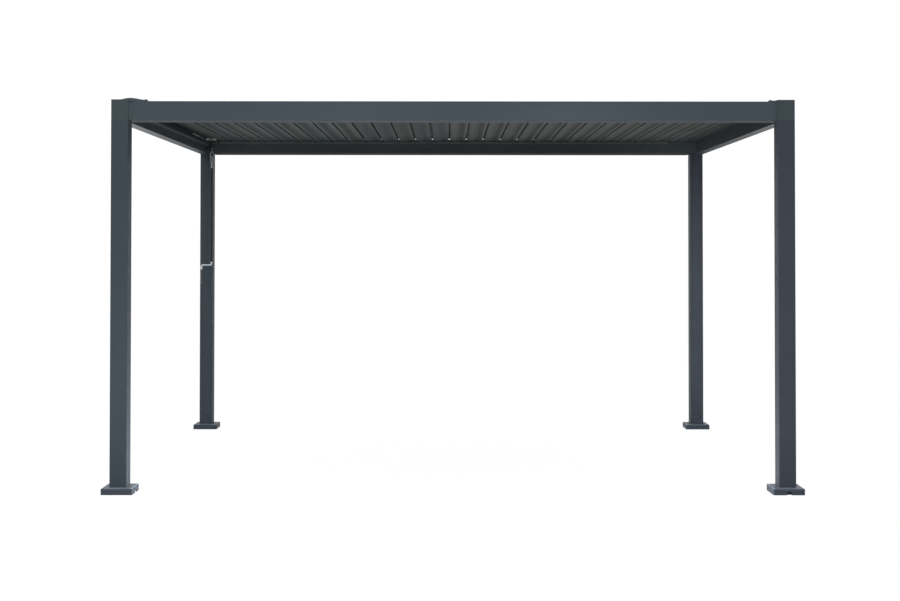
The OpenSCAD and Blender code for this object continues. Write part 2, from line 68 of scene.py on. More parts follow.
# Middle of the rear right post, half its side, the top of its flat cap, and its bolts' heights
POST_X = (post_low.x + post_high.x) / 2
POST_Y = (post_low.y + post_high.y) / 2
HALF_POST = block_high.x - POST_X
TOP = block_high.z + 0.003
BOLTS_Z = (block_low.z + 0.018, block_low.z + 0.050)
# Pivot of the first louvre, and how far a pivot lies to the right of the open joint beside it
LOUVRE_X, _, LOUVRE_Z = PIVOTS["louvre_01_tilt"]
PIVOT_IN = 0.024
# Pitch of the louvres, the reach of one from its joint to its lip's end, and its thickness
PITCH = PIVOTS["louvre_02_tilt"][0] - LOUVRE_X
REACH = louvre_high.x - LOUVRE_X + PIVOT_IN
THICK = 2 * (louvre_high.z - LOUVRE_Z)
# Distance of a lever's pin from the pivot, as much down as left, and the place of its clip
LEVER_DROP = LOUVRE_X - PIVOTS["drive_bar_pin"][0]
CLIP_Y = bar_high.y + 0.0002
# Faces of the two rails that carry the pivots, and the blades' ends between the rails
RAIL_NEAR = gutter_low.y
RAIL_FAR = RAIL_NEAR + 0.003
FRONT_END = 0.006 - RAIL_NEAR
REAR_END = bar_low.y - 0.0055
# Wall of a gutter, and the rear gutter's drain at the right
GUTTER_WALL = 0.002
DRAIN_X, DRAIN_Y = gutter_high.x - 0.084, gutter_high.y - 0.067
# Output axis and underside of the gearbox, which is as deep below the axis as above it
GEAR_X, _, GEAR_Z = PIVOTS["gearbox_lever_turn"]
GEAR_UNDER = 2 * GEAR_Z - gearbox_high.z
# Axis of the crank, the ends of its painted tube, and the top of the darker end under its grip
CRANK_X, CRANK_Y, _ = PIVOTS["crank_turn"]
TUBE_LOW, TUBE_HIGH = rod_low.z + 0.1648, rod_high.z - 0.09216
DARKER_BELOW = rod_low.z + 0.011
X, Y, Z = Vector((1, 0, 0)), Vector((0, 1, 0)), Vector((0, 0, 1))


# ---- Camera -------------------------------------------------------------------------------------

CAMERA_AT = (-0.032, -9.50, 1.425)
YAW, TILT, ROLL = (math.radians(a) for a in (-0.10, 0.976, 0.034))


def make_camera():
    """Camera at the photograph's height and angle, a little to the left of the middle."""
    data = bpy.data.cameras.new("camera")
    data.sensor_width = 36
    data.lens = 54.8
    data.shift_y = -0.083
    data.clip_end = 200
    cam = bpy.data.objects.new("camera", data)
    scene.collection.objects.link(cam)
    look = Matrix.Rotation(YAW, 4, "Z") @ Matrix.Rotation(math.pi / 2 + TILT, 4, "X")
    cam.matrix_world = Matrix.Translation(CAMERA_AT) @ look @ Matrix.Rotation(ROLL, 4, "Z")
    scene.camera = cam


# ---- Materials ----------------------------------------------------------------------------------

class Graph:
    """A node tree under construction."""

    def __init__(self, tree):
        self.tree = tree

    def link(self, source, target):
        self.tree.links.new(source, target)
        return source

    def node(self, kind, **settings):
        made = self.tree.nodes.new(kind)
        for key, value in settings.items():
            setattr(made, key, value)
        return made

    def ramp(self, value, low, high, out_low=0.0, out_high=1.0, smooth=False):
        """Maps low..high to out_low..out_high and holds the ends."""
        made = self.node("ShaderNodeMapRange", clamp=True)
        if smooth:
            made.interpolation_type = "SMOOTHSTEP"
        for socket, number in zip(("From Min", "From Max", "To Min", "To Max"),
                                  (low, high, out_low, out_high)):
            made.inputs[socket].default_value = number
        self.link(value, made.inputs["Value"])
        return made.outputs["Result"]

    def maths(self, operation, a, b=None, clamp=False):
        """One sum of sockets or numbers."""
        made = self.node("ShaderNodeMath", operation=operation, use_clamp=clamp)
        for index, value in enumerate((a, b)):
            if value is None:
                continue
            if isinstance(value, (int, float)):
                made.inputs[index].default_value = value
            else:
                self.link(value, made.inputs[index])
        return made.outputs[0]

    def axis(self, vector, name):
        parts = self.node("ShaderNodeSeparateXYZ")
        self.link(vector, parts.inputs[0])
        return parts.outputs[name]

    def emitter(self, kind, colour, strength):
        """Emission or background shader. strength is a number or a socket."""
        made = self.node(kind)
        made.inputs["Color"].default_value = (*colour, 1)
        if isinstance(strength, (int, float)):
            made.inputs["Strength"].default_value = strength
        else:
            self.link(strength, made.inputs["Strength"])
        return made.outputs[0]

    def seen(self):
        """1 for what the camera, a reflection or a view through glass meets, and 0 for light."""
        path = self.node("ShaderNodeLightPath").outputs
        either = self.maths("MAXIMUM", path["Is Camera Ray"], path["Is Glossy Ray"])
        return self.maths("MAXIMUM", either, path["Is Transmission Ray"])

    def finish(self, kind, factor, first, second):
        """Mixes two shaders into the output."""
        mix = self.node("ShaderNodeMixShader")
        self.link(factor, mix.inputs["Fac"])
        self.link(first, mix.inputs[1])
        self.link(second, mix.inputs[2])
        self.link(mix.outputs[0], self.node(kind).inputs["Surface"])


class Finish(Graph):
    """A material under construction: a Principled shader and the nodes that feed it."""

    def __init__(self, name, base, rough, metallic=0.0, ior=1.5, gloss=0.5):
        self.mat = bpy.data.materials.new(name)
        self.mat.use_nodes = True
        super().__init__(self.mat.node_tree)
        self.shader = self.tree.nodes["Principled BSDF"]
        self.base = base
        self.set("Base Color", (*base, 1))
        self.set("Roughness", rough)
        self.set("Metallic", metallic)
        self.set("IOR", ior)
        self.set("Specular IOR Level", gloss)
        self.coords = self.node("ShaderNodeTexCoord").outputs["Object"]

    def set(self, socket, value):
        self.shader.inputs[socket].default_value = value

    def stretched(self, scale):
        """Object coordinates multiplied by a scale per axis."""
        mapping = self.node("ShaderNodeMapping")
        mapping.inputs["Scale"].default_value = scale
        self.link(self.coords, mapping.inputs["Vector"])
        return mapping.outputs["Vector"]

    def noise(self, scale, detail=2.0, rough=0.5, vector=None):
        made = self.node("ShaderNodeTexNoise")
        made.inputs["Scale"].default_value = scale
        made.inputs["Detail"].default_value = detail
        made.inputs["Roughness"].default_value = rough
        self.link(vector or self.coords, made.inputs["Vector"])
        return made.outputs["Fac"]

    def cells(self, scale, output="Distance"):
        made = self.node("ShaderNodeTexVoronoi")
        made.inputs["Scale"].default_value = scale
        self.link(self.coords, made.inputs["Vector"])
        return made.outputs[output]

    def facing_up(self):
        """Height of the surface's normal: 1 on top, 0 on the sides and -1 below."""
        return self.axis(self.node("ShaderNodeNewGeometry").outputs["Normal"], "Z")

    def mix(self, factor, a, b):
        made = self.node("ShaderNodeMix", data_type="RGBA")
        self.link(factor, made.inputs["Factor"])
        for socket, value in ((made.inputs[6], a), (made.inputs[7], b)):
            if isinstance(value, tuple):
                socket.default_value = (*value, 1)
            else:
                self.link(value, socket)
        return made.outputs[2]

    def curve(self, value, points):
        """Smooth curve through points of (value, result)."""
        made = self.node("ShaderNodeFloatCurve")
        track = made.mapping.curves[0]
        top = max(result for place, result in points)
        while len(track.points) < len(points):
            track.points.new(0.5, 0.5)
        for dot, (place, result) in zip(track.points, points):
            dot.location = (place, result / top)
        made.mapping.update()
        self.link(value, made.inputs["Value"])
        return self.maths("MULTIPLY", made.outputs["Value"], top)

    def scaled(self, colour, factor):
        made = self.node("ShaderNodeVectorMath", operation="SCALE")
        self.link(colour, made.inputs["Vector"])
        self.link(factor, made.inputs["Scale"])
        return made.outputs["Vector"]

    def tinted(self, factor):
        return tuple(min(1.0, c * factor) for c in self.base)

    def source(self, socket):
        """What feeds a socket of the shader so far."""
        return self.shader.inputs[socket].links[0].from_socket

    def colour(self, source):
        self.link(source, self.shader.inputs["Base Color"])

    def roughness(self, source):
        self.link(source, self.shader.inputs["Roughness"])

    def metal(self, source):
        self.link(source, self.shader.inputs["Metallic"])

    def bump(self, height, strength, distance, below=None):
        made = self.node("ShaderNodeBump")
        made.inputs["Strength"].default_value = strength
        made.inputs["Distance"].default_value = distance
        self.link(height, made.inputs["Height"])
        if below is not None:
            self.link(below, made.inputs["Normal"])
        self.link(made.outputs["Normal"], self.shader.inputs["Normal"])
        return made.outputs["Normal"]


# Colours of the coats
POST = (0.0475, 0.060, 0.073)
POST_RIGHT = (0.0490, 0.0560, 0.0705)
BLOCK = (0.054, 0.069, 0.078)
BEAM = (0.067, 0.084, 0.097)
# The side beams' coat, darkened as painted shade, the right more than the left
BEAM_LEFT_PAINTED_SHADE = (0.039, 0.049, 0.055)
BEAM_RIGHT_PAINTED_SHADE = (0.032, 0.040, 0.046)
GUTTER = (0.062, 0.074, 0.081)
COVER = (0.048, 0.060, 0.080)
# Pale bluish colour of the covers' tops: painted sky light
COVER_TOP_PAINTED_SKY = (0.23, 0.265, 0.315)
LOUVRE = (0.0475, 0.0550, 0.0535)
# Drive bar and gearbox lever paler than the frame's paint: painted light in the shade under the louvres' rear ends
DRIVE_BAR_PAINTED_LIGHT = (0.105, 0.115, 0.120)
DUST = (0.30, 0.31, 0.30)
# Colours of bare metal and plastic
BARE_ZINC = (0.60, 0.62, 0.63)
DULL_ZINC = (0.30, 0.31, 0.31)
GALVANISED = (0.46, 0.48, 0.49)
SCREW = (0.40, 0.41, 0.42)
CRANK = (0.46, 0.48, 0.50)
CRANK_SCUFFED = (0.30, 0.31, 0.32)
CRANK_DARKER_ENDS = (0.20, 0.205, 0.21)
CRANK_TUBE = (0.014, 0.018, 0.021)
GEARBOX = (0.018, 0.021, 0.023)
GRIP = (0.022, 0.025, 0.028)
SEAL = (0.014, 0.015, 0.016)
# The axis that an extrusion was drawn along
DRAWN_X, DRAWN_Y, DRAWN_Z = 0, 1, 2


def coat(name, base, rough=0.42, grain=1.0, streak=None, banks=0.06, dust=0.35, gloss=0.5):
    """Fine-textured satin powder coat. streak is the axis that the extrusion was drawn along,
    banks the broad change of tone and dust the most that lies on top."""
    f = Finish(name, base, rough, gloss=gloss)
    broad = f.noise(0.9, 3.0, 0.55)
    fine = f.noise(420.0, 2.0, 0.6)
    shade = f.mix(f.ramp(broad, 0.35, 0.65), f.tinted(1 - banks), f.tinted(1 + banks))
    speck = f.mix(f.ramp(fine, 0.52, 0.72), shade, f.tinted(1.16))
    settled = f.maths("MULTIPLY", f.ramp(f.facing_up(), 0.6, 0.95),
                      f.ramp(f.noise(14.0, 5.0, 0.62), 0.35, 0.75, 0.1, dust))
    f.colour(f.mix(settled, speck, DUST))
    f.roughness(f.ramp(f.noise(26.0, 4.0, 0.6), 0.3, 0.7, rough - 0.05, rough + 0.07))
    normal = f.bump(f.noise(1300.0, 2.0, 0.6), 0.35 * grain, 0.0002)
    normal = f.bump(f.noise(240.0, 1.0), 0.12 * grain, 0.0005, normal)
    if streak is not None:
        scale = [260.0, 260.0, 260.0]
        scale[streak] = 0.7
        f.bump(f.noise(1.0, 3.0, 0.55, f.stretched(scale)), 0.18, 0.0004, normal)
    return f


def side_beam_coat(name, base, gloss, front, rear):
    """Coat of a side beam, with its roughness at the front and at the rear."""
    f = coat(name, base, rough=front, streak=DRAWN_Y, gloss=gloss)
    f.roughness(f.ramp(f.axis(f.coords, "Y"), -1.2, 1.2, front, rear))
    return f.mat


def painted_shade_below(f, share):
    """Paints shade into a coat on the faces that look down, as on the rear beam and gutter: painted shade."""
    f.colour(f.scaled(f.source("Base Color"), f.ramp(f.facing_up(), -0.9, -0.4, share, 1.0)))
    return f.mat


def cover_coat():
    """Coat of the foot covers, paler and bluer on top in uneven patches: painted sky light on the faces that look
    up.
    """
    f = coat("cover_coat", COVER, rough=0.5, grain=0.6, dust=0.2, gloss=0.14)
    up = f.ramp(f.facing_up(), 0.45, 0.9, smooth=True)
    patches = f.ramp(f.noise(9.0, 4.0, 0.6), 0.3, 0.7, 0.7, 0.95)
    f.colour(f.mix(f.maths("MULTIPLY", up, patches), f.source("Base Color"), COVER_TOP_PAINTED_SKY))
    return f.mat


def zinc(name, base, rough, spangle=90.0):
    """Zinc-plated or galvanised steel with faint crystals, scuffs and a dull skin."""
    f = Finish(name, base, rough, metallic=1.0)
    tone = f.axis(f.cells(spangle, "Color"), "X")
    patches = f.mix(tone, f.tinted(0.86), f.tinted(1.08))
    dull = f.ramp(f.noise(30.0, 5.0, 0.65), 0.45, 0.75, 0.0, 0.45)
    f.colour(f.mix(dull, patches, DULL_ZINC))
    f.roughness(f.maths("ADD", f.ramp(tone, 0, 1, rough - 0.06, rough + 0.06),
                        f.ramp(f.noise(55.0, 4.0), 0.4, 0.7, 0.0, 0.12)))
    f.bump(f.noise(700.0, 3.0, 0.6), 0.12, 0.0003)
    return f.mat


def moulded(name, base, rough):
    """Moulded plastic with a spark-eroded grain and slight handling gloss."""
    f = Finish(name, base, rough, ior=1.48)
    f.colour(f.mix(f.ramp(f.noise(20.0, 4.0), 0.35, 0.7), f.tinted(0.9), f.tinted(1.25)))
    f.roughness(f.ramp(f.noise(40.0, 4.0, 0.6), 0.3, 0.7, rough - 0.09, rough + 0.08))
    f.bump(f.cells(1500.0), 0.3, 0.00012)
    return f.mat


# Painted light and shade across a louvre's underside, as (share of the pitch, factor)
LEFT_PAINTED_SHADING = ((0.0, 1.20), (0.16, 1.12), (0.36, 0.83), (0.52, 0.93), (0.68, 1.12), (0.90, 1.16),
              (1.0, 1.16))
MIDDLE_PAINTED_SHADING = ((0.0, 0.98), (0.20, 1.02), (0.38, 1.02), (0.55, 0.94), (0.70, 0.98), (0.86, 1.06),
                (1.0, 1.04))
RIGHT_PAINTED_SHADING = ((0.0, 0.98), (0.16, 1.15), (0.40, 1.13), (0.56, 0.99), (0.68, 0.84), (0.80, 0.98),
               (0.90, 1.26), (1.0, 1.28))
# Parts of the roof from the left: the louvres before its end, its tint and its painted light and shade
ROOF_PARTS = (
    # The first three louvres' brighter tint is a painted highlight
    (3, (1.09, 1.13, 1.14), LEFT_PAINTED_SHADING),
    (8, (0.97, 1.02, 1.03), LEFT_PAINTED_SHADING),
    (13, (1.00, 1.00, 1.02), MIDDLE_PAINTED_SHADING),
    (27, (1.02, 1.02, 0.97), RIGHT_PAINTED_SHADING),
)
# Two extrusion batches that take turns along the roof
BATCH_TINTS = ((0.98, 0.99, 1.02), (1.01, 1.01, 0.985))


def louvre_coat(index, tint, painted_shading=MIDDLE_PAINTED_SHADING, pins=True):
    """Coat of one batch of louvres, with painted light and shade in bands across the underside, painted light
    towards the rear ends, and bare zinc on the pins and levers beyond the end plates.
    """
    base = tuple(c * t for c, t in zip(LOUVRE, tint))
    f = coat(f"louvre_coat_{index}", base, rough=0.6, streak=DRAWN_Y, banks=0.09, dust=0.24, gloss=0.03)
    first_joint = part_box("louvre_01")[1][0] - REACH
    across = f.maths("SUBTRACT", f.axis(f.coords, "X"), first_joint)
    # Painted light and shade in bands across the pitch, kept to the faces that look down
    tone = f.curve(f.maths("FRACT", f.maths("DIVIDE", across, PITCH)), painted_shading)
    own_up = f.axis(f.node("ShaderNodeTexCoord").outputs["Normal"], "Z")
    below = f.ramp(own_up, -0.8, -0.3, 1.0, 0.15)
    tone = f.maths("ADD", f.maths("MULTIPLY", f.maths("SUBTRACT", tone, 1.0), below), 1.0)
    streaks = f.ramp(f.noise(1.0, 3.0, 0.6, f.stretched((70.0, 0.5, 1.0))), 0.3, 0.7, 0.90, 1.10)
    tone = f.maths("MULTIPLY", tone, streaks)
    f.roughness(f.ramp(tone, 0.72, 1.2, 0.76, 0.57))
    along = f.axis(f.coords, "Y")
    # Painted light towards the rear ends, against the shade there
    painted_rear_light = f.ramp(along, 1.10, 1.24, 1.0, 1.4)
    f.colour(f.scaled(f.source("Base Color"), f.maths("MULTIPLY", tone, painted_rear_light)))
    if not pins:
        return f.mat
    hair = 0.00005
    bare = f.maths("MAXIMUM", f.maths("GREATER_THAN", along, REAR_END + hair),
                   f.maths("LESS_THAN", along, FRONT_END - hair))
    f.colour(f.mix(bare, f.source("Base Color"), BARE_ZINC))
    painted = f.maths("MULTIPLY", f.source("Roughness"), f.maths("SUBTRACT", 1.0, bare))
    f.roughness(f.maths("ADD", painted, f.maths("MULTIPLY", bare, 0.36)))
    f.metal(bare)
    return f.mat


def crank_coat():
    """Bright zinc, darker at the eye and at the end below the grip, with a dark painted tube over the middle of
    the rod.
    """
    f = Finish("crank_zinc", CRANK, 0.26, metallic=1.0, gloss=0.1)
    height = f.axis(f.coords, "Z")
    above = f.maths("GREATER_THAN", height, TUBE_HIGH)
    tube = f.maths("MULTIPLY", f.maths("GREATER_THAN", height, TUBE_LOW),
                   f.maths("LESS_THAN", height, TUBE_HIGH))
    darker_ends = f.maths("MAXIMUM", above, f.maths("LESS_THAN", height, DARKER_BELOW))
    bright = f.mix(f.ramp(f.noise(48.0, 5.0, 0.65), 0.45, 0.75), CRANK, CRANK_SCUFFED)
    f.colour(f.mix(tube, f.mix(darker_ends, bright, CRANK_DARKER_ENDS), CRANK_TUBE))
    f.roughness(f.ramp(f.noise(30.0, 3.0), 0.35, 0.7, 0.30, 0.46))
    f.metal(f.maths("SUBTRACT", 1.0, tube))
    f.bump(f.noise(900.0, 2.0, 0.6), 0.15, 0.0002)
    return f.mat


def slot_finishes():
    """The finish of each material slot of the frame."""
    return {
        "post_paint": coat("post_coat", POST, rough=0.5, streak=DRAWN_Z, gloss=0.07).mat,
        "beam_paint": coat("beam_coat", BEAM, rough=0.65, streak=DRAWN_X, banks=0.03, gloss=0.02).mat,
        "gutter_paint": coat("gutter_coat", GUTTER, rough=0.6, streak=DRAWN_X, gloss=0.04).mat,
        "cap_paint": coat("cap_coat", POST, rough=0.5, gloss=0.2).mat,
        "cover_paint": cover_coat(),
        "louvre_paint": louvre_coat(0, (1, 1, 1), pins=False),
        "galvanised_steel": zinc("galvanised", GALVANISED, 0.46),
        "crank_steel": crank_coat(),
        "gearbox_shell": moulded("gearbox_shell", GEARBOX, 0.5),
        "grip_plastic": moulded("grip_plastic", GRIP, 0.45),
    }


def own_finishes():
    """Finishes of the nodes that differ from the rest of their slot."""
    rear_beam = coat("rear_beam_coat", BEAM, rough=0.65, streak=DRAWN_X, banks=0.03, gloss=0.02)
    rear_gutter = coat("rear_gutter_coat", GUTTER, rough=0.6, streak=DRAWN_X, gloss=0.02)
    own = {
        # The side beams' darker coats are painted shade
        "beam_left": side_beam_coat("left_beam_coat", BEAM_LEFT_PAINTED_SHADE, 0.05, 0.33, 0.50),
        "beam_right": side_beam_coat("right_beam_coat", BEAM_RIGHT_PAINTED_SHADE, 0.031, 0.36, 0.53),
        # Painted shade on the undersides of the rear beam and rear gutter
        "beam_rear": painted_shade_below(rear_beam, 0.3),
        "gutter_rear": painted_shade_below(rear_gutter, 0.15),
        # The drive bar's paler coat is painted light
        "drive_bar": coat("bar_coat", DRIVE_BAR_PAINTED_LIGHT, streak=DRAWN_X, gloss=0.1).mat,
        "post_front_right": coat("post_coat_right", POST_RIGHT, rough=0.5, streak=DRAWN_Z, gloss=0.07).mat,
    }
    own["gearbox_lever"] = own["drive_bar"]
    own["post_rear_right"] = own["post_front_right"]
    block = coat("block_coat", BLOCK, rough=0.5, gloss=0.07).mat
    own.update({f"corner_block_{corner}": block for corner in CORNERS})
    first = 0
    for part, (end, part_tint, painted_shading) in enumerate(ROOF_PARTS, 1):
        batch = [louvre_coat(10 * part + k, tuple(a * b for a, b in zip(tint, part_tint)), painted_shading)
                 for k, tint in enumerate(BATCH_TINTS)]
        own.update({LOUVRES[k]: batch[(k // 3 + k) % 2] for k in range(first, end)})
        first = end
    return own


def paint_nodes():
    """Gives every node of the frame its finish, and returns the finishes of the slots."""
    finishes, own = slot_finishes(), own_finishes()
    for part in frame["record"]["subparts"]:
        mesh = nodes[part["node"]].data
        mesh.materials.clear()
        mesh.materials.append(own.get(part["node"], finishes[part["material_slot"]]))
    return finishes


# ---- Small mesh forms ---------------------------------------------------------------------------

def aim(origin, direction):
    """Matrix at origin whose Z axis points along direction."""
    turn = Vector(direction).to_track_quat("Z", "Y").to_matrix().to_4x4()
    return Matrix.Translation(Vector(origin)) @ turn


def lathe(bm, profile, place, steps=20, flutes=0):
    """Adds a turned form. profile is a list of (radius, height) or (radius, height, depth of the
    flutes). A radius of 0 closes that end, and a last point equal to the first closes a ring."""
    rings = []
    for radius, height, *depth in profile:
        if radius == 0:
            rings.append([bm.verts.new(place @ Vector((0, 0, height)))])
            continue
        if rings and (radius, height, *depth) == tuple(profile[0]):
            rings.append(rings[0])
            continue
        row = []
        for a in (2 * math.pi * k / steps for k in range(steps)):
            r = radius - sum(depth) * (0.5 + 0.5 * math.cos(flutes * a)) ** 2
            row.append(bm.verts.new(place @ Vector((r * math.cos(a), r * math.sin(a), height))))
        rings.append(row)
    for low, high in zip(rings, rings[1:]):
        for k in range(steps):
            n = (k + 1) % steps
            if len(low) == 1:
                bm.faces.new((low[0], high[n], high[k]))
            elif len(high) == 1:
                bm.faces.new((low[k], low[n], high[0]))
            else:
                bm.faces.new((low[k], low[n], high[n], high[k]))


def finished(name, bm, material, body):
    """Turns a bmesh into a smooth piece with sharp edges that rides on a body."""
    bmesh.ops.recalc_face_normals(bm, faces=bm.faces)
    data = bpy.data.meshes.new(name)
    bm.to_mesh(data)
    bm.free()
    data.shade_smooth()
    data.set_sharp_from_angle(angle=math.radians(35))
    data.materials.append(material)
    piece = bpy.data.objects.new(name, data)
    scene.collection.objects.link(piece)
    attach(piece, body)
    return piece


def screw(bm, at, out, size=1.0):
    """Pan head screw with a hexagon socket on a washer; at is on the surface and out its normal."""
    r = 0.0048 * size
    sunk = 0.0006
    place = aim(Vector(at) - Vector(out) * sunk, out)
    lathe(bm, [(0, 0), (1.75 * r, 0), (1.75 * r, 0.0014), (1.7 * r, 0.0018), (0, 0.0018)], place, 20)
    dome = [(1.0, 0.0034), (0.93, 0.0045), (0.74, 0.0053), (0.56, 0.0055), (0.52, 0.0051), (0.5, 0.0028),
            (0, 0.0026)]
    lathe(bm, [(0, 0.0015), (r, 0.0015)] + [(share * r, up * size) for share, up in dome], place, 24)


def strip(bm, section, y0, y1):
    """Adds a bar along Y. section is its outline as (x, z), counted round once."""
    ends = [[bm.verts.new((x, y, z)) for x, z in section] for y in (y0, y1)]
    count = len(section)
    for k in range(count):
        n = (k + 1) % count
        bm.faces.new((ends[0][k], ends[0][n], ends[1][n], ends[1][k]))
    bm.faces.new(ends[0])
    bm.faces.new(list(reversed(ends[1])))


def slab(bm, low, high, edge):
    """Adds a box with bevelled edges between two corners."""
    made = bmesh.ops.create_cube(bm, size=1)["verts"]
    size = [b - a for a, b in zip(low, high)]
    middle = [(a + b) / 2 for a, b in zip(low, high)]
    for v in made:
        v.co = Vector([c * s + m for c, s, m in zip(v.co, size, middle)])
    edges = list({e for v in made for e in v.link_edges})
    bmesh.ops.bevel(bm, geom=edges, offset=edge, segments=2, profile=0.5, affect="EDGES")


def countersunk(bm, at, out, r=0.0035):
    """Flush screw head with a hexagon socket."""
    lathe(bm, [(0, -0.0002), (r, -0.0002), (r, 0.0005), (0.9 * r, 0.0009), (0.55 * r, 0.0009),
               (0.5 * r, 0.0002), (0, 0.0001)], aim(at, out), 16)


def ring(bm, at, out, inner, outer, thick, steps=24):
    """Flat ring with eased edges; at is the middle of its seat and out its free side."""
    ease = min(0.3 * thick, 0.0004)
    seat = -0.0001
    lathe(bm, [(inner, seat), (inner, thick), (outer - ease, thick), (outer, thick - ease), (outer, seat),
               (inner, seat)], aim(at, out), steps)


# ---- Small fittings -----------------------------------------------------------------------------

# Outline of a lip seal and places of the end plate screws, from the joint and from the underside
LIP_SEAL = ((0.1432, 0.0186), (0.1410, 0.0186), (0.1410, 0.0176), (0.1403, 0.0169), (0.1403, 0.0159),
            (0.1412, 0.0151), (0.1424, 0.0151), (0.1432, 0.0159))
PLATE_SCREWS = ((0.036, 0.0125), (0.066, 0.0120), (0.108, 0.0125))


def louvre_fittings(steel, rubber):
    """A soft seal under each lip, end plate screws, and a clip behind the drive bar on each lever's pin."""
    seal_gap = 0.004
    for name in LOUVRES:
        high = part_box(name)[1]
        joint, under = high[0] - REACH, high[2] - THICK
        bm = bmesh.new()
        strip(bm, [(joint + x, under + z) for x, z in LIP_SEAL], FRONT_END + seal_gap, REAR_END - seal_gap)
        finished(f"lip_seal_{name[-2:]}", bm, rubber, name)
        bm = bmesh.new()
        for k, (x, z) in enumerate(PLATE_SCREWS):
            countersunk(bm, (joint + x, FRONT_END, under + z), -Y)
            # The lever covers the first screw at the rear end
            if k > 0:
                countersunk(bm, (joint + x, REAR_END, under + z), Y)
        pin = (joint + PIVOT_IN - LEVER_DROP, CLIP_Y, high[2] - THICK / 2 - LEVER_DROP)
        ring(bm, pin, Y, 0.0029, 0.0056, 0.0009)
        finished(f"louvre_screws_{name[-2:]}", bm, steel, name)


def pivot_bushes(plastic):
    """Plastic bushes that carry the louvres' pins in the two rails."""
    bore = 0.00412
    for where, side in (("front", -1), ("rear", 1)):
        out = Y * side
        bm = bmesh.new()
        for name in LOUVRES:
            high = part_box(name)[1]
            x, z = high[0] - REACH + PIVOT_IN, high[2] - THICK / 2
            ring(bm, (x, side * RAIL_FAR, z), out, bore, 0.0085, 0.0018)
            ring(bm, (x, side * RAIL_NEAR, z), -out, bore, 0.0078, 0.0012)
        finished(f"pivot_bushes_{where}", bm, plastic, "frame")


# Profile of a drain strainer's ribbed dome
STRAINER = ((0, -0.0002), (0.034, -0.0002), (0.034, 0.003), (0.031, 0.004), (0.029, 0.004),
            (0.0288, 0.0050, 0.003), (0.0275, 0.0095, 0.004), (0.0240, 0.0150, 0.004),
            (0.0180, 0.0200, 0.003), (0.0105, 0.0232, 0.0012), (0.0050, 0.0242), (0, 0.0245))


def gutter_fittings(steel, plastic):
    """Screws along the gutters' walls and a strainer over each drain."""
    screws, apart, up = 12, 0.32, 0.026
    first = -apart * (screws - 1) / 2
    for where, side in (("front", -1), ("rear", 1)):
        low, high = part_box(f"gutter_{where}")
        wall = low[1] + GUTTER_WALL if side < 0 else high[1] - GUTTER_WALL
        bm = bmesh.new()
        for k in range(screws):
            screw(bm, (first + apart * k, wall, low[2] + up), Y * -side, 0.9)
        finished(f"gutter_screws_{where}", bm, steel, "frame")
        bm = bmesh.new()
        for x in (-DRAIN_X, DRAIN_X):
            place = aim((x, side * DRAIN_Y, low[2] + GUTTER_WALL), Z)
            lathe(bm, STRAINER, place, 84, flutes=14)
        finished(f"drain_strainers_{where}", bm, plastic, "frame")


def post_and_cap_fittings(paint):
    """Button head bolts through each post into its block's spigot, and flush screws in the caps."""
    screw_out = 0.036
    for corner in CORNERS:
        sy = -1 if "front" in corner else 1
        sx = -1 if "left" in corner else 1
        bm = bmesh.new()
        for z in BOLTS_Z:
            screw(bm, (sx * (POST_X - HALF_POST), sy * POST_Y, z), X * -sx, 0.8)
            screw(bm, (sx * POST_X, sy * (POST_Y - HALF_POST), z), Y * -sy, 0.8)
        finished(f"post_bolts_{corner}", bm, paint, "frame")
        bm = bmesh.new()
        # The bowed cap at the front left holds only its outer pair
        columns = (-screw_out,) if corner == "front_left" else (-screw_out, screw_out)
        for dx in columns:
            for dy in (-screw_out, screw_out):
                countersunk(bm, (sx * (POST_X - dx), sy * (POST_Y + dy), TOP), Z, 0.0042)
        finished(f"cap_screws_{corner}", bm, paint, "frame")


def drive_fittings(steel, plastic, rubber):
    """Gearbox cover, collars and seals, and the screws of its bracket and of the strip on the beam."""
    low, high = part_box("gearbox")
    cover_y = low[1] - 0.0016
    bm = bmesh.new()
    slab(bm, (low[0] + 0.003, cover_y, GEAR_UNDER + 0.0015),
         (GEAR_X + 0.002, low[1] + 0.0004, GEAR_UNDER + 0.0185), 0.0006)
    ring(bm, (GEAR_X, high[1], GEAR_Z), Y, 0.0070, 0.0115, 0.0009)
    ring(bm, (CRANK_X, CRANK_Y, low[2] + 0.0065), -Z, 0.0099, 0.0118, 0.0065, 28)
    ring(bm, (CRANK_X, CRANK_Y, GEAR_UNDER), -Z, 0.0099, 0.0135, 0.0030, 28)
    half_rib = 0.0008
    for x in (CRANK_X - 0.007, CRANK_X + 0.012):
        slab(bm, (x - half_rib, CRANK_Y - 0.018, GEAR_UNDER - 0.009),
             (x + half_rib, CRANK_Y - 0.008, GEAR_UNDER + 0.0004), 0.0004)
    finished("gearbox_cover", bm, plastic, "frame")
    bm = bmesh.new()
    lathe(bm, [(0.0093, 0.0002), (0.0093, -0.0012), (0.0080, -0.0020), (0.0062, -0.0016), (0.0060, 0.0002),
               (0.0093, 0.0002)], aim((CRANK_X, CRANK_Y, low[2]), Z), 28)
    finished("gearbox_seal", bm, rubber, "frame")
    bm = bmesh.new()
    for x in (low[0] + 0.007, GEAR_X - 0.003):
        for z in (GEAR_UNDER + 0.005, GEAR_UNDER + 0.015):
            countersunk(bm, (x, cover_y, z), -Y, 0.0022)
    flange = 0.002
    for x in (low[0] + 0.010, low[0] + 0.040):
        for y in (low[1] - flange, RAIL_NEAR - flange):
            screw(bm, (x, y, high[2] - 0.0055), -Y, 0.55)
    strip_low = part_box("gearbox_bracket")[0]
    strip_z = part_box("beam_left")[1][2] - 0.006
    for along in (0.034, 0.184, 0.334, 0.449):
        countersunk(bm, (strip_low[0] + 0.003, strip_low[1] + along, strip_z), X, 0.0032)
    finished("drive_screws", bm, steel, "frame")


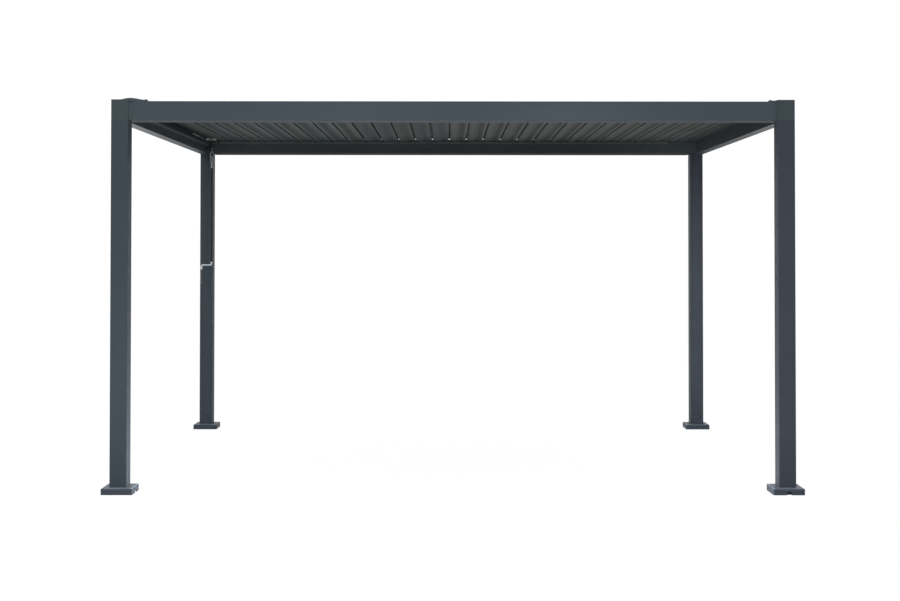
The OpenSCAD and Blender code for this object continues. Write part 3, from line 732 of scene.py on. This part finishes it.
def crank_fittings(steel, plastic):
    """Ribbed grip in place of the plain one, and the collars that end the painted tube."""
    low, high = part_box("crank_grip")
    x, y, length = (low[0] + high[0]) / 2, (low[1] + high[1]) / 2, high[2] - low[2]
    radius, bore, flute, ribbed = (high[0] - low[0]) / 2, 0.0048, 0.00055, 20
    shape = [(0.78, 0.0), (0.93, 0.0012), (1.0, 0.0040), (1.0, 0.0090), (0.90, 0.0120), (0.86, 0.0160)]
    for t in (k / ribbed for k in range(1, ribbed)):
        shape.append((0.86 + 0.11 * math.sin(math.pi * t) ** 2, 0.016 + t * (length - 0.030), flute))
    shape += [(0.86, length - 0.014), (0.96, length - 0.0105), (1.0, length - 0.008),
              (1.0, length - 0.003), (0.93, length - 0.0008), (0.80, length)]
    profile = [(share * radius, *rest) for share, *rest in shape]
    bm = bmesh.new()
    lathe(bm, [(bore, 0.0)] + profile + [(bore, length), (bore, 0.0)], aim((x, y, low[2]), Z), 54, flutes=9)
    grip = finished("grip_sleeve", bm, plastic, "crank_grip")
    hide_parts("crank_grip")
    bm = bmesh.new()
    ring(bm, (CRANK_X, CRANK_Y, TUBE_HIGH + 0.0005), Z, 0.0052, 0.0079, 0.0030)
    ring(bm, (CRANK_X, CRANK_Y, TUBE_LOW - 0.0005), -Z, 0.0052, 0.0079, 0.0030)
    ring(bm, (x, y, high[2] + 0.0009), Z, 0.0044, 0.0082, 0.0012)
    finished("crank_collars", bm, steel, "crank")


# ---- Floor and light ----------------------------------------------------------------------------

# The sky's strength falls from 0.60 to 0.25 as its direction turns from 0.25 to 0.85 sideways
WORLD_FADE = (0.25, 0.85, 0.60, 0.25)
# Strength that is added towards the rear
WORLD_BACK = 0.35


def make_world():
    """Soft daylight that is weaker from the sides, shown as plain white."""
    world = bpy.data.worlds.new("studio")
    world.use_nodes = True
    world.node_tree.nodes.clear()
    g = Graph(world.node_tree)
    direction = g.node("ShaderNodeTexCoord").outputs["Generated"]
    fade = g.ramp(g.maths("ABSOLUTE", g.axis(direction, "X")), *WORLD_FADE)
    back = g.maths("MULTIPLY", g.axis(direction, "Y"), WORLD_BACK, clamp=True)
    light = g.emitter("ShaderNodeBackground", (0.93, 0.97, 1.0), g.maths("ADD", fade, back))
    shown = g.emitter("ShaderNodeBackground", (1, 1, 1), 1.03)
    g.finish("ShaderNodeOutputWorld", g.seen(), light, shown)
    scene.world = world


def make_floor():
    """Pale matt floor that takes the shadow and is shown as nearly white."""
    bm = bmesh.new()
    bmesh.ops.create_grid(bm, x_segments=8, y_segments=8, size=60)
    data = bpy.data.meshes.new("floor")
    bm.to_mesh(data)
    bm.free()
    floor = bpy.data.objects.new("floor", data)
    scene.collection.objects.link(floor)
    mat = bpy.data.materials.new("floor")
    mat.use_nodes = True
    mat.node_tree.nodes.clear()
    g = Graph(mat.node_tree)
    matt = g.node("ShaderNodeBsdfDiffuse")
    matt.inputs["Color"].default_value = (0.45, 0.45, 0.44, 1)
    glow = g.emitter("ShaderNodeEmission", (1, 1, 1), 1.18)
    g.finish("ShaderNodeOutputMaterial", g.maths("MULTIPLY", g.seen(), 0.82), matt.outputs[0], glow)
    data.materials.append(mat)


def area_light(name, at, target, size, power, glossy=True):
    """Rectangular lamp at a place, turned towards a target."""
    data = bpy.data.lights.new(name, "AREA")
    data.shape = "RECTANGLE"
    data.size, data.size_y = size
    data.energy = power
    lamp = bpy.data.objects.new(name, data)
    lamp.matrix_world = aim(at, Vector(at) - Vector(target))
    lamp.visible_camera = False
    lamp.visible_glossy = glossy
    scene.collection.objects.link(lamp)
    return lamp


def make_lights():
    """A broad key light, light from the ground, and narrow fills for the posts."""
    area_light("key", (-6.0, -30, 8.0), (0, -1, 1.4), (16, 8), 2700)
    area_light("pavement", (-0.3, -3.3, 0.02), (-0.3, -3.3, 2), (4.2, 2.4), 60, glossy=False)
    for side, bounce, foot in ((-1, 9, 2.6), (1, 5.5, 1.7)):
        area_light(f"low_bounce_{side}", (side * 1.2, -1.46, 0.12), (side * 2, -1.46, 0.12), (0.2, 0.1),
                   bounce, glossy=False)
        area_light(f"foot_fill_{side}", (side * 1.95, -2.6, 0.25), (side * 1.95, -1.5, 0.2), (0.6, 0.3),
                   foot, glossy=False)
    for side, power in ((-1, 1.42), (1, 3.75)):
        fill = area_light(f"rear_fill_{side}", (side * -2.5, -9.0, 0.95), (side * 1.95, 1.4, 0.95),
                          (0.3, 2.1), power, glossy=False)
        fill.data.spread = math.radians(9)
    area_light("low_left", (-9.0, 0.2, 0.4), (0, 0.4, 2.2), (4, 0.7), 150)


make_camera()
materials = paint_nodes()
rubber = moulded("seal_rubber", SEAL, 0.62)
screw_steel = zinc("screw_steel", SCREW, 0.38, 240.0)
louvre_fittings(screw_steel, rubber)
pivot_bushes(materials["gearbox_shell"])
gutter_fittings(screw_steel, materials["gearbox_shell"])
post_and_cap_fittings(materials["post_paint"])
drive_fittings(screw_steel, materials["gearbox_shell"], rubber)
crank_fittings(screw_steel, materials["grip_plastic"])
make_world()
make_floor()
make_lights()
